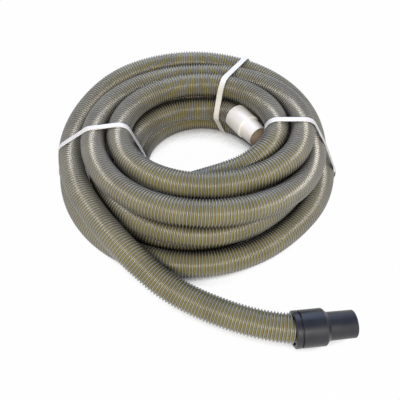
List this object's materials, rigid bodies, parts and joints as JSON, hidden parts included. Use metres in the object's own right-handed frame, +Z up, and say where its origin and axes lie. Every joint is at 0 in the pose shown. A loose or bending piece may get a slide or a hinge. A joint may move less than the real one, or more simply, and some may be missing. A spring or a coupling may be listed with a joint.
{
  "type": "pool vacuum hose",
  "caption": "Coiled spiral-ribbed suction hose for a pool vacuum, with a fixed cuff on the inner end, a swivel cuff on the outer end and straps round the coil.",
  "frame": {"origin": "on the floor under the middle of the whole part's box", "axes": "+X to the right along the swivel cuff's axis, towards its open end; +Y away from the loose end of the hose; +Z up"},
  "size_m": [0.5398, 0.6424, 0.148],
  "materials": {
    "hose": "smooth semi-clear olive-grey plastic with a moulded spiral rib",
    "white_cuff": "satin cream-white moulded plastic",
    "black_cuff": "satin black moulded plastic",
    "seal": "matt black rubber",
    "strap": "smooth white band"
  },
  "bodies": {
    "hose": {"hose_coil": "hose", "hose_tail": "hose", "fixed_cuff": "white_cuff", "swivel_sleeve": "black_cuff", "swivel_seal": "seal", "strap_left": "strap", "strap_back": "strap", "strap_right": "strap"},
    "swivel": {"swivel_cuff": "black_cuff"}
  },
  "joints": [
    {"name": "cuff_swivel", "type": "hinge", "parent": "hose", "child": "swivel", "pos_m": [0.1374, -0.29317, 0.028], "axis": [1, 0, 0], "continuous": true}
  ]
}
